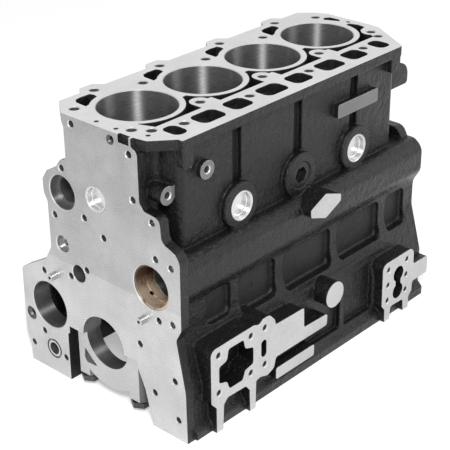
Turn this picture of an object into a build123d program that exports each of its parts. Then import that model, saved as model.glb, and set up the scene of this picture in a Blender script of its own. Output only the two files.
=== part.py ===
from build123d import *
from math import cos, radians, sin
import os

# Bare cylinder block of a four-cylinder in-line diesel engine, with the pieces that stay on it.
# Millimetres. The origin is on the crankshaft axis, at the machined front face.
# X runs along the crankshaft to the flywheel end, Z is up, and -Y is the camshaft side.

os.makedirs("parts", exist_ok=True)

# Cylinders and deck
bore_dia = 98.0
bore_pitch = 112.0
bore_count = 4
front_bore_x = 75.0
bore_chamfer = 1.0
hole_chamfer = 1.2
deck_height = 295.0
deck_thickness = 13.0
deck_cam_edge = 114.0
deck_plain_edge = 79.5
deck_rear_overhang = 6.0
bore_run_out = 14.0

# Crankcase
crank_bore_dia = 74.0
sump_depth = 82.7
rail_thickness = 11.7
rail_cam_edge = 145.5
rail_plain_edge = 144.0
web_thickness = 22.0
front_wall = 30.0
rear_wall = 28.0
rear_web_to_face = 17.0
bay_top = 94.0
below_sump = 8.0

# Walls
front_plate = 14.0
cam_wall = 106.0
lower_wall = 119.0
plain_wall = 74.0
shoulder_z = 154.0
shoulder_overlap = 12.0
overlap = 1.0
front_post_x = 41.5
front_post_size = (17.0, 36.0)
front_post_r = 7.0
rear_post_inset = 49.5
rear_post_size = (19.0, 32.0)
rear_post_r = 2.0
post_root = 104.0

# Camshaft, pushrods and tappets
cam_y = -88.3
cam_z = 113.6
cam_bore_dia = 56.6
cam_bearing_dia = 51.0
cam_bush_wall = 1.8
cam_bush_length = 29.0
cam_bush_recess = 2.0
cam_bush_groove_x = 18.0
cam_bush_groove_width = 2.4
cam_bush_groove_depth = 0.6
cam_bush_hole_dia = 6.0
cam_bush_hole_angle = -51.0
cam_oil_hole_reach = 9.0
cam_plug_thickness = 4.0
tappet_dia = 16.0
chamber_floor = 168.0
chamber_roof = 198.0
pushrod_guide_r = 8.0
pushrod_guide_depth = 10.0
pushrod_guide_shift = 4.0
pushrod_guide_y = -73.0
chamber_corner_r = 9.0
chamber_inner_y = -72.0
chamber_outer_y = -100.0

# Water jacket
jacket_floor = 150.0
bore_wall = 8.0
jacket_cam_y = -63.0
jacket_plain_y = 66.0
jacket_front_wall = 11.0
jacket_rear_wall = 6.0
jacket_corner_r = 10.0
bolt_boss_r = 13.0
boss_web_length = 20.0
deck_bridge_size = (32.0, 18.0)
deck_bridge_shift = 3.0

# Head bolts
head_bolt_dia = 12.0
head_bolt_depth = 70.0
corner_hole_depth = 11.0
deck_small_hole_dia = 6.0
deck_notch_y = -53.8
deck_notch_width = 17.5
deck_notch_height = 10.0
deck_notch_depth = 4.0
head_bolt_y = 48.0
outer_bolt_plain_y = 75.0
outer_bolt_cam_y = -79.0
outer_bolt_cam_shift = -3.0
outer_boss_r = 14.0
outer_boss_foot = deck_height - 81.0

# Side pads and bosses on the camshaft side
pad_face = 153.0
pad_root = 108.0
pad_hole_dia = 7.6
pad_hole_depth = 20.0
hex_pad_face = 144.0
boss_face = 114.0
boss_root = 102.0
hex_pad_root = 102.0
small_boss_r = 11.6
small_boss_x = 72.0
small_boss_z = deck_height - 48.0
corner_boss_r = 11.5
corner_boss_x = 24.6
corner_boss_z = deck_height - 69.0
corner_boss_face = 97.0
corner_boss_root = 64.0
corner_boss_hole_depth = 16.0
corner_tab_length = 14.0
corner_tab_height = 11.0
corner_tab_rise = 4.0
round_pad_r = 18.0
round_pad_shift = 24.8
round_pad_z = 12.5
flat_strip_length = 83.0
flat_strip_height = 18.5
flat_strip_z = deck_height - 52.5
flat_strip_r = 2.0
low_strip_length = 76.0
low_strip_height = 16.5
low_strip_x = 188.5
low_strip_z = -51.8
low_strip_r = 3.0
plug_boss_dia = 60.0
plug_boss_rounding = 3.0
plug_z = 180.0
plug_dia = 36.0
plug_depth = 9.0
plug_wall = 1.6
plug_recess = 1.0
plug_rounding = 2.0
plug_step_share = 0.62
plug_step = 0.6
plug_seat_run_in = 2.0
front_plug_seat_depth = 17.0
jacket_plug_z = 185.0
jacket_plug_seat_depth = 14.0
socket_plug_dia = 34.0
socket_plug_recess = 1.5
socket_depth = 9.0
socket_across_flats = 19.0
panel_depth = 7.0
panel_corner_r = 10.0
panel_floor_r = 4.0
low_panel_corner_r = 4.0
low_panel_inset = 15.0
groove_width = 16.0
groove_depth = 7.0
groove_foot_rise = 24.0

# Front face
tapped_dia = 8.4
tapped_depth = 22.0
idler_bore_dia = 64.6
idler_bore_depth = 27.0
pump_bore_dia = 44.7
pump_bore_depth = 12.0
pump_throat_dia = 34.0
pump_throat_depth = 28.0
pump_wall = 8.0
front_plug_dia = 32.0
smooth_bore_dia = 23.0
smooth_bore_depth = 26.0
counterbore_dia = 12.4
counterbore_depth = 3.0
ring_seat_r = 14.0
ring_seat_bore_dia = 17.0
ring_seat_bore_depth = 20.0
ring_groove = 2.5
stepped_hole_dias = (18.0, 11.0)
stepped_hole_depths = (6.0, 30.0)
gallery_dia = 14.0
gallery_plug_dia = 21.8
gallery_plug_length = 9.0
gallery_plug_recess = 7.0
gallery_socket_flats = 8.0
dowel_dia = 10.0
dowel_length = 26.0
dowel_stand = 10.0
dowel_hollow_dia = 4.5

# Rear face and sump rail
rear_hole_y = 90.0
rear_hole_zs = (-52.0, 26.0)
rear_top_hole_y = 50.0
rear_top_hole_z = 140.0
sump_hole_y = 122.0
sump_hole_inset = 15.0
lug_length = 35.0
lug_thickness = 26.0
lug_root = 50.0
lug_overlap = 10.0
lug_corner_rs = (5.0, 20.0)
rear_shoulder_length = 14.0
ledge_start = 195.0
ledge_end_inset = 84.0
lug_zs = (deck_height - 81.0, deck_height - 48.0)

# Main bearing caps
cap_thickness = 22.0
cap_bolt_y = 45.6
cap_boss_r = 14.0
cap_arch_r = 66.5
cap_half_width = 48.0
cap_seat = 66.5
front_cap_x = 17.0
cap_bolt_dia = 12.0
cap_bolt_reach = 60.0
cap_bolt_tip_gap = 4.0
cap_pocket_depth = 4.0
cap_bolt_flats = 24.0
cap_bolt_head = 9.5
cap_bolt_flange = 2.0
cap_bolt_flange_inset = 0.5
ring_dowel_dia = 15.6
ring_dowel_height = 12.0

# Radial clearance of a piece in its seat
fit_gap = 0.05

# Places worked out from the sizes above
bore_xs = [front_bore_x + i * bore_pitch for i in range(bore_count)]
web_xs = [front_bore_x + (i - 0.5) * bore_pitch for i in range(bore_count + 1)]
rear_face = web_xs[-1] + rear_web_to_face
deck_rear = rear_face + deck_rear_overhang
deck_underside = deck_height - deck_thickness
jacket_r = bore_dia / 2 + bore_wall
jacket_end = rear_face - jacket_rear_wall
cap_xs = [front_cap_x] + web_xs[1:]
cap_bolt_places = [(x, side * cap_bolt_y) for x in cap_xs for side in (-1, 1)]
bore_foot = bay_top - bore_run_out
bay_foot = -sump_depth - below_sump
groove_foot = plug_z + groove_foot_rise
panel_floor = lower_wall - panel_depth
low_panel_floor = rail_cam_edge - low_panel_inset
gallery_seat_depth = gallery_plug_recess + gallery_plug_length
cap_clip_side = 4 * cap_arch_r


def across(x):
    """Plane across the block, x from the front face; its own axes are Y and Z."""
    return Plane.YZ.offset(x)


def beside(y):
    """Upright plane along the block that faces the camshaft side; its own axes are X and Z."""
    return Plane(origin=(0, y, 0), x_dir=(1, 0, 0), z_dir=(0, -1, 0))


def level(z):
    """Flat plane at the height z; its own axes are X and Y."""
    return Plane.XY.offset(z)


def rounded_face(corners):
    """Closed face from (u, v, radius) corners."""
    with BuildLine() as outline:
        FilletPolyline(*[(u, v) for u, v, _ in corners], radius=[r for _, _, r in corners], close=True)
    make_face(outline.edges())


def drill(plane, centres, dia, amount, chamfer=0.0):
    """Round cutters from a plane, wider at the mouth where a chamfer is given."""
    with BuildSketch(plane) as mouth:
        with Locations(*centres):
            Circle(dia / 2)
    extrude(mouth.sketch, amount=amount)
    if chamfer:
        with BuildSketch(plane) as ring:
            with Locations(*centres):
                Circle(dia / 2 + chamfer)
        extrude(ring.sketch, amount=chamfer if amount > 0 else -chamfer, taper=45)


# Outline of the front plate, as (Y, Z, corner radius), clockwise from the deck's rib
front_outline = [
    (-65.5, deck_height, 0), (50, deck_height, 0), (50, deck_height - 12, 3),
    (47.5, deck_height - 17, 3), (47.5, deck_height - 59, 6), (58, deck_height - 62, 5),
    (67.5, deck_height - 75, 6), (84, deck_height - 83, 10), (93.5, deck_height - 97, 8),
    (93, deck_height - 115, 6), (87, deck_height - 126, 6),
    (87, 106, 12), (99, 85, 10), (149.5, 55.5, 8), (151, -43, 15), (rail_plain_edge, -61, 6),
    (rail_plain_edge, -sump_depth, 0), (-142, -sump_depth, 0), (-140.8, -10, 40), (-127.5, 58, 10),
    (-136.2, 74, 8), (-137, 170, 18), (-109, 180, 10), (-107, 208, 9), (-82.5, 210.5, 4),
    (-75.3, 219, 5), (-75, deck_height - 14.5, 8),
    (-65.5, deck_height - 10, 2),
]

# Section of the crankcase and the camshaft bulge behind the front plate, as (Y, Z, radius)
crankcase_section = [
    (plain_wall, shoulder_z, 0), (plain_wall, 140, 10), (92, 102, 15), (96, 42, 20), (124, -18, 25),
    (130, rail_thickness - sump_depth + 7, 6), (rail_plain_edge, rail_thickness - sump_depth, 3),
    (rail_plain_edge, -sump_depth, 0), (-rail_cam_edge, -sump_depth, 0),
    (-rail_cam_edge, rail_thickness - sump_depth, 3), (-138, rail_thickness - sump_depth + 7, 6),
    (-137.5, -12, 10), (-lower_wall, 54, 25), (-lower_wall, 90, 22), (-130.5, 109, 20), (-130.5, 144, 18),
    (-117, shoulder_z, 12),
]

# Plan of the cylinder bank below the deck, as (X, Y, radius)
bank_plan = [
    (10, -66, 2), (14, -71, 4), (30, -73, 8), (37, -cam_wall, 10), (rear_face - 45, -cam_wall, 8),
    (rear_face - 29, -88, 6), (rear_face - 8, -60, 10), (rear_face, -44, 8), (rear_face, 40, 10),
    (rear_face - 8, 60, 8), (rear_face - 20, plain_wall, 8), (24, plain_wall, 6), (10, 50, 4),
]

# Plan of the deck, as (X, Y, radius), with a swelling beside each outer head bolt
swelling = 12.0
deck_plan = [(0, -65.5, 0), (0, 50, 1), (23, deck_plain_edge, 3)]
for x in bore_xs:
    deck_plan += [
        (x - 19, deck_plain_edge, 4), (x - 9, deck_plain_edge + swelling, 3),
        (x + 11, deck_plain_edge + swelling, 3), (x + 21, deck_plain_edge, 4),
    ]
deck_plan += [
    (deck_rear - 25, deck_plain_edge, 6), (deck_rear - 7, 60, 12), (deck_rear, 42, 8),
    (deck_rear, -32, 10), (deck_rear - 2, -46, 12), (deck_rear - 43, -deck_cam_edge, 5),
    (33, -deck_cam_edge, 2), (33, -107, 2), (7, -84, 4), (4, -66, 1),
]

idler_centre = (99.6, 17.4)

# Hollow of a crankcase bay, as (Y, Z, radius)
bay_section = [
    (-112, bay_foot, 0), (-112, -33, 20), (-98, 17, 25), (-95, 60, 14), (-60, bay_top, 10),
    (60, bay_top, 14), (78, 64, 18), (84, 22, 25), (108, -28, 20), (110, bay_foot, 0),
]

# Gap between the legs of a web, below the cap joint, as (Y, Z, radius)
front_gap = [
    (67.5, bay_foot, 0), (67, -12, 2), (63.5, -10.5, 1), (63.5, 0, 0), (-60.5, 0, 0),
    (-60.5, -9, 2), (-66, -20.5, 8), (-72.5, -35.5, 20), (-86, bay_foot, 0),
]
web_gap = [
    (88, bay_foot, 0), (76, -36, 20), (63.5, -12, 4), (63.5, 0, 0), (-60.5, 0, 0),
    (-60.5, -9, 2), (-66, -20.5, 8), (-72.5, -35.5, 20), (-86, bay_foot, 0),
]

# Tapped holes of the front face, as (Y, Z)
front_tapped = [
    (34.3, deck_height - 10.2), (57.3, deck_height - 73), (-60.8, deck_height - 21),
    (-64.5, deck_height - 76.2),
    (-94, 199.5), (21.5, 167.5), (75.8, deck_height - 140.7), (-11, 151.5), (-97.5, 154),
    (-122, 150.8), (53.8, 76.5), (23.3, 95.3),
    (105.8, 65.5), (-99.3, 73.3), (-122, 76.5), (-65.5, 27.5), (-122.8, -1), (-88, -32.5),
    (-127, -54.8), (115, -27.5), (138.8, -54.8), (75.5, -52.5),
]
counterbored_hole = (-32.3, deck_height - 10.7)
front_tapped.append(counterbored_hole)
pump_centre = (58.75, deck_height - 105.8)
front_plug_centre = (-1.3, 199.3)
head_bolt_places = [(x, side * head_bolt_y) for x in web_xs for side in (-1, 1)]
head_bolt_places += [(x, outer_bolt_plain_y) for x in bore_xs]
head_bolt_places += [(x + outer_bolt_cam_shift, outer_bolt_cam_y) for x in bore_xs]
deck_corner_holes = [(32.7, -66), (rear_face - 25, -65.3)]
deck_small_holes = [(9.3, -0.7), (9.3, -33), (19.3, -74.3), (rear_face - 4.7, 0)]
gallery_centre = (65.0, 117.0)
smooth_bore_centre = (38.3, 85.0)
ring_seat_centre = (96.8, -47.3)
stepped_hole_centre = (139.0, -10.5)
dowel_centres = [(83.0, 67.0), (-76.0, 67.0)]
rear_holes = [(side * rear_hole_y, z) for z in rear_hole_zs for side in (-1, 1)]
rear_holes += [(side * rear_top_hole_y, rear_top_hole_z) for side in (-1, 1)]
sump_hole_xs = [sump_hole_inset] + bore_xs + web_xs[1:-1] + [rear_face - sump_hole_inset]
sump_holes = [(x, side * sump_hole_y) for x in sump_hole_xs for side in (-1, 1)]

# Housing behind the front plate round the idler bore, as (Y, Z, radius)
idler_housing = [(66, 84, 6), (99, 82, 10), (144, 53, 8), (146, -40, 12), (138, -60, 6), (66, -60, 0)]
idler_housing_end = 52.0

# Hollow behind the idler bore, open to the front bay, as (Y, Z, radius)
idler_hollow = [(60, 50, 0), (92, 56, 10), (128, 44, 10), (129, -20, 12), (116, -34, 10), (60, -34, 0)]
idler_hollow_end = 48.0

# Small shoulder at the rear end of the bank, and ledge of the crankcase wall, as (Y, Z, radius)
rear_shoulder = [(-60, 140, 0), (-60, 168, 0), (-97, 168, 14), (-106, 153, 18), (-106, 140, 0)]
ledge_section = [(-120, 16, 0), (-131.5, 16, 2), (-129.5, 24, 2), (-120, 24, 0)]

# Machined pads of the camshaft side, as (X, Z, radius)
front_pad = [
    (40, -sump_depth, 0), (40, -46, 4), (31, -36, 4), (31, 38.5, 9), (108, 39.5, 10), (117.5, 36, 6),
    (124, 41, 4), (137, 41, 9), (147, 30, 6), (149, 22, 3), (204, 21, 3), (205, -8, 3),
    (253, -9.5, 4), (252, -26, 4), (150, -26, 4), (146, -40, 6), (134, -45, 6), (120, -41, 5),
    (112, -42.5, 3), (111, -sump_depth, 0), (101, -sump_depth, 0), (100, -50, 4), (93, -41, 5),
    (60, -40, 5), (53, -47, 4), (51, -sump_depth, 0),
]
front_pad_window = [
    (62, 28, 4), (89, 28, 4), (92, 14, 6), (107, 9, 4), (107, -14, 4), (92, -17, 6), (87, -29, 4),
    (63, -29, 4), (59, -17, 6), (45, -13, 4), (45, 10, 4), (59, 13, 6),
]
front_pad_window_depth = 26.0
front_slot_place = (126.5, -2)
front_slot_width = 10.0
front_slot_length = 24.0
front_slot_r = 4.9
front_pad_holes = [(x, z) for x in (45, 103, 129) for z in (-26.5, 26.5)]
rear_pad = [
    (-101, -sump_depth, 0), (-102, -62, 5), (-109, -54, 4), (-110, 10.5, 9), (-37.5, 11.5, 12),
    (-37.5, -16, 4), (-2, -16.5, 4), (-2, -43.5, 4), (-38, -43.5, 4), (-38, -58, 4), (-45, -65, 4),
    (-45, -sump_depth, 0), (-57, -sump_depth, 0), (-59, -63.5, 4), (-88, -62.5, 4),
    (-90, -sump_depth, 0),
]
rear_pad = [(rear_face + u, v, r) for u, v, r in rear_pad]
rear_pad_holes = [(rear_face + u, v) for u in (-95.5, -53) for v in (-2, -26, -50)]
rear_slot_x = rear_face - 72.5
rear_slot_zs = (-17.0, -44.0)
rear_slot_r = 11.5
rear_slot_waist = 12.0
rear_slot_depth = 24.0

# Small slanted pad over the camshaft bulge, as (X from the middle web, Z, radius)
hex_pad = [(-18, 147, 3), (11, 160, 5), (42, 149, 3), (42, 139.5, 3), (12, 126, 5), (-17, 136.5, 3)]
hex_pad = [(web_xs[2] + u, v, r) for u, v, r in hex_pad]

# Recessed panels under the camshaft bulge, as (X from, X to, Z from, Z to)
panels = [
    (60, 104, 46, 92), (119, 187, 36, 90), (203, 298, 32, 88), (312, 404, 32, 88),
    (rear_face - 66, rear_face - 22, 34, 88),
]

# Lower panels between the pads, in the same form
low_panels = [(214, 300, -60, 8), (309, 372, -60, 8)]

# Shallow round marks on the floors of two panels, as (X, Z)
panel_mark = (147.0, 63.0)
low_panel_mark = (345.0, 0.4)
mark_r = 4.5
mark_depth = 0.8

# Pushrod openings between the outer head bolts, as (X from, X to)
chamber_spans = [(web_xs[0] + 20.5, web_xs[0] + 41)]
for x in web_xs[1:-1]:
    chamber_spans += [(x - 46.5, x - 6.5), (x + 7.5, x + 41)]
chamber_spans += [(web_xs[-1] - 46, web_xs[-1] - 24)]
chamber_mid_y = (chamber_inner_y + chamber_outer_y) / 2
chamber_width = chamber_inner_y - chamber_outer_y

# Openings of the water jacket in the deck, as (X, Y): along the camshaft side, and at the rear
deck_jacket_slot = [
    (35, -44), (42, jacket_cam_y), (rear_face - 32, jacket_cam_y), (rear_face - 28, -57),
    (rear_face - 27, -42), (rear_face - 22, -34), (rear_face - 7, -30), (rear_face - 5, -17),
    (rear_face - 9, -5), (rear_face - 17, -5), (web_xs[-2], -22), (web_xs[1], -22), (35, -22),
]
deck_rear_window = [
    (rear_face - 19, 31.7), (rear_face - 12, 36.7), (rear_face - 5, 31.7), (rear_face - 4, 16.7),
    (rear_face - 9, 10), (rear_face - 16, 25),
]

# Window of the jacket beside each bore on the plain side, as (X from the bore, Y)
deck_window = [(-43, 42), (-42, 60), (-37, 67), (-28, 69), (-13, 68.5), (-11, 62), (-15, 50)]

# Recesses of the camshaft side, with rounded floors
with BuildPart() as panel_recesses:
    with BuildSketch(beside(-panel_floor)):
        for x0, x1, z0, z1 in panels:
            with Locations(((x0 + x1) / 2, (z0 + z1) / 2)):
                RectangleRounded(x1 - x0, z1 - z0, panel_corner_r)
    extrude(amount=rail_cam_edge - panel_floor)
    fillet(panel_recesses.faces().sort_by(Axis.Y)[-len(panels):].edges(), panel_floor_r)
with BuildPart() as low_panel_recesses:
    with BuildSketch(beside(-low_panel_floor)):
        for x0, x1, z0, z1 in low_panels:
            with Locations(((x0 + x1) / 2, (z0 + z1) / 2)):
                RectangleRounded(x1 - x0, z1 - z0, low_panel_corner_r)
    extrude(amount=rail_cam_edge - low_panel_floor)

# Bosses round the three plugs, with a rounded rim
with BuildPart() as plug_bosses:
    with BuildSketch(beside(-boss_root)):
        with Locations(*[(x, plug_z) for x in web_xs[1:-1]]):
            Circle(plug_boss_dia / 2)
    extrude(amount=boss_face - boss_root)
    fillet(plug_bosses.faces().sort_by(Axis.Y)[:len(web_xs) - 2].edges(), plug_boss_rounding)

# Solid outer form of the casting
with BuildPart() as casting:
    # Front plate, crankcase, cylinder bank and deck
    with BuildSketch(across(0)):
        rounded_face(front_outline)
    extrude(amount=front_plate)
    with BuildSketch(across(front_plate - overlap)):
        rounded_face(crankcase_section)
    extrude(amount=rear_face - front_plate + overlap)
    with BuildSketch(level(shoulder_z - shoulder_overlap)):
        rounded_face(bank_plan)
    extrude(amount=deck_underside + overlap - shoulder_z + shoulder_overlap)
    with BuildSketch(level(deck_underside)):
        rounded_face(deck_plan)
    extrude(amount=deck_thickness)

    # Columns of the outer head bolts on the plain side
    with BuildSketch(level(outer_boss_foot)):
        with Locations(*[(x, outer_bolt_plain_y) for x in bore_xs]):
            Circle(outer_boss_r)
    extrude(amount=deck_underside - outer_boss_foot)

    # Housings behind the idler bore and the water pump bore
    with BuildSketch(across(front_plate - overlap)):
        rounded_face(idler_housing)
        with Locations(pump_centre):
            Circle(pump_bore_dia / 2 + pump_wall)
    extrude(amount=idler_housing_end - front_plate + overlap)

    # Corner posts under the deck on the camshaft side
    with BuildSketch(beside(-post_root)):
        with Locations((front_post_x, deck_height - front_post_size[1] / 2)):
            RectangleRounded(*front_post_size, front_post_r)
        with Locations((rear_face - rear_post_inset, deck_height - rear_post_size[1] / 2)):
            RectangleRounded(*rear_post_size, rear_post_r)
    extrude(amount=deck_cam_edge - post_root)

    # Recessed panels and grooves of the camshaft side
    add(panel_recesses.part, mode=Mode.SUBTRACT)
    add(low_panel_recesses.part, mode=Mode.SUBTRACT)
    with BuildSketch(beside(-panel_floor)):
        with Locations(panel_mark):
            Circle(mark_r)
    extrude(amount=-mark_depth, mode=Mode.SUBTRACT)
    with BuildSketch(beside(-low_panel_floor)):
        with Locations(low_panel_mark):
            Circle(mark_r)
    extrude(amount=-mark_depth, mode=Mode.SUBTRACT)
    with BuildSketch(beside(-cam_wall + groove_depth)):
        with Locations(*[(x, (deck_underside + groove_foot) / 2) for x in web_xs[1:-1]]):
            Rectangle(groove_width, deck_underside - groove_foot)
    extrude(amount=groove_depth, mode=Mode.SUBTRACT)

    # Bosses and pads of the camshaft side
    add(plug_bosses.part)
    with BuildSketch(beside(-boss_root)):
        with Locations((small_boss_x, small_boss_z)):
            Circle(small_boss_r)
        with Locations((web_xs[3], flat_strip_z)):
            RectangleRounded(flat_strip_length, flat_strip_height, flat_strip_r)
    extrude(amount=boss_face - boss_root)
    with BuildSketch(beside(-corner_boss_root)):
        with Locations((corner_boss_x, corner_boss_z)):
            Circle(corner_boss_r)
        with Locations((corner_boss_x + corner_tab_length / 2, corner_boss_z + corner_tab_rise)):
            Rectangle(corner_tab_length, corner_tab_height)
    extrude(amount=corner_boss_face - corner_boss_root)
    with BuildSketch(beside(-pad_root)):
        rounded_face(front_pad)
        rounded_face(rear_pad)
        with Locations((low_strip_x, low_strip_z)):
            RectangleRounded(low_strip_length, low_strip_height, low_strip_r)
        with Locations((web_xs[2] + round_pad_shift, round_pad_z)):
            Circle(round_pad_r)
    extrude(amount=pad_face - pad_root)
    with BuildSketch(beside(-hex_pad_root)):
        rounded_face(hex_pad)
    extrude(amount=hex_pad_face - hex_pad_root)

    # Lifting lug and small shoulder at the rear
    with BuildSketch(beside(-lug_root)):
        rounded_face([
            (rear_face - lug_overlap, lug_zs[0], 0), (rear_face + lug_length, lug_zs[0], lug_corner_rs[0]),
            (rear_face + lug_length, lug_zs[1], lug_corner_rs[1]), (rear_face - lug_overlap, lug_zs[1], 0),
        ])
    extrude(amount=lug_thickness)
    with BuildSketch(across(rear_face - rear_shoulder_length)):
        rounded_face(rear_shoulder)
    extrude(amount=rear_shoulder_length)

    # Ledge along the crankcase wall
    with BuildSketch(across(ledge_start)):
        rounded_face(ledge_section)
    extrude(amount=rear_face - ledge_end_inset - ledge_start)

# Hollows left by the cores and the cutters, as solids
with BuildPart() as hollows:
    # Cylinder bores
    drill(level(deck_height), [(x, 0) for x in bore_xs], bore_dia, bore_foot - deck_height, bore_chamfer)

    # Crankcase bays, the gap between the legs of the webs, and the hollow behind the idler bore
    for i in range(bore_count):
        bay_start = front_wall if i == 0 else web_xs[i] + web_thickness / 2
        bay_end = rear_face - rear_wall if i == bore_count - 1 else web_xs[i + 1] - web_thickness / 2
        with BuildSketch(across(bay_start)):
            rounded_face(bay_section)
        extrude(amount=bay_end - bay_start)
    with BuildSketch(across(0)):
        rounded_face(front_gap)
    extrude(amount=front_wall + overlap)
    with BuildSketch(across(front_wall)):
        rounded_face(web_gap)
    extrude(amount=rear_face - front_wall)
    with BuildSketch(across(idler_bore_depth)):
        rounded_face(idler_hollow)
    extrude(amount=idler_hollow_end - idler_bore_depth)
    with BuildSketch(across(0)):
        Circle(crank_bore_dia / 2)
    extrude(amount=rear_face)

    # Water jacket under the deck, and its openings in the deck
    with BuildSketch(level(jacket_floor)):
        with Locations(((jacket_front_wall + jacket_end) / 2, (jacket_cam_y + jacket_plain_y) / 2)):
            RectangleRounded(jacket_end - jacket_front_wall, jacket_plain_y - jacket_cam_y, jacket_corner_r)
        with Locations(*[(x, 0) for x in bore_xs]):
            Circle(jacket_r, mode=Mode.SUBTRACT)
        with Locations(*[(x, y) for x in web_xs for y in (-head_bolt_y, head_bolt_y)]):
            Circle(bolt_boss_r, mode=Mode.SUBTRACT)
        with Locations(*[(x, s * (head_bolt_y + boss_web_length / 2)) for x in web_xs for s in (-1, 1)]):
            Rectangle(2 * bolt_boss_r, boss_web_length, mode=Mode.SUBTRACT)
        with Locations(*[(x, outer_bolt_plain_y) for x in bore_xs]):
            Circle(bolt_boss_r, mode=Mode.SUBTRACT)
    extrude(amount=deck_underside - jacket_floor)
    with BuildSketch(level(deck_height)):
        with BuildLine():
            Polyline(*deck_jacket_slot, close=True)
        make_face()
        with Locations(*[(x, 0) for x in bore_xs]):
            Circle(jacket_r, mode=Mode.SUBTRACT)
        with Locations(*[(x, -head_bolt_y) for x in web_xs]):
            Circle(bolt_boss_r, mode=Mode.SUBTRACT)
        with Locations(*[(x + deck_bridge_shift, -head_bolt_y - deck_bridge_size[1] / 2)
                         for x in web_xs[1:-1]]):
            Rectangle(*deck_bridge_size, mode=Mode.SUBTRACT)
    extrude(amount=-deck_thickness - overlap)
    with BuildSketch(level(deck_height)):
        for x in bore_xs:
            with BuildLine():
                Polyline(*[(x + u, v) for u, v in deck_window], close=True)
            make_face()
        with Locations(*[(x, 0) for x in bore_xs]):
            Circle(jacket_r, mode=Mode.SUBTRACT)
        with BuildLine():
            Polyline(*deck_rear_window, close=True)
        make_face()
    extrude(amount=-deck_thickness - overlap)

    # Pushrod openings, the chamber under them and the tappet bores
    with BuildSketch(level(deck_height)):
        for x0, x1 in chamber_spans:
            with Locations(((x0 + x1) / 2, chamber_mid_y)):
                RectangleRounded(x1 - x0, chamber_width, chamber_corner_r)
    extrude(amount=-(deck_height - chamber_floor))
    with BuildSketch(level(chamber_roof)):
        with Locations(*[((x0 + x1) / 2 + pushrod_guide_shift, pushrod_guide_y)
                         for x0, x1 in chamber_spans[1:-1]]):
            Circle(pushrod_guide_r)
    extrude(amount=deck_height - pushrod_guide_depth - chamber_roof, mode=Mode.SUBTRACT)
    chamber_start = chamber_spans[0][0]
    chamber_end = chamber_spans[-1][1]
    with BuildSketch(level(chamber_floor)):
        with Locations(((chamber_start + chamber_end) / 2, chamber_mid_y)):
            RectangleRounded(chamber_end - chamber_start, chamber_width, chamber_corner_r)
    extrude(amount=chamber_roof - chamber_floor)
    with BuildSketch(level(chamber_floor)):
        with Locations(*[((x0 + x1) / 2, cam_y) for x0, x1 in chamber_spans]):
            Circle(tappet_dia / 2)
    extrude(amount=-(chamber_floor - cam_z))

    # Camshaft tunnel, with a wider seat for the front bush and a seat for the rear plug
    drill(across(0), [(cam_y, cam_z)], cam_bearing_dia, rear_face)
    drill(across(0), [(cam_y, cam_z)], cam_bore_dia, cam_bush_recess + cam_bush_length, bore_chamfer)
    drill(across(rear_face), [(cam_y, cam_z)], cam_bore_dia, -plug_depth, bore_chamfer)

# Plane whose normal runs from the camshaft axis through the oil hole of the bush
cam_oil_plane = Plane(
    origin=(cam_bush_groove_x, cam_y, cam_z), x_dir=(1, 0, 0),
    z_dir=(0, cos(radians(cam_bush_hole_angle)), sin(radians(cam_bush_hole_angle))),
)

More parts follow.
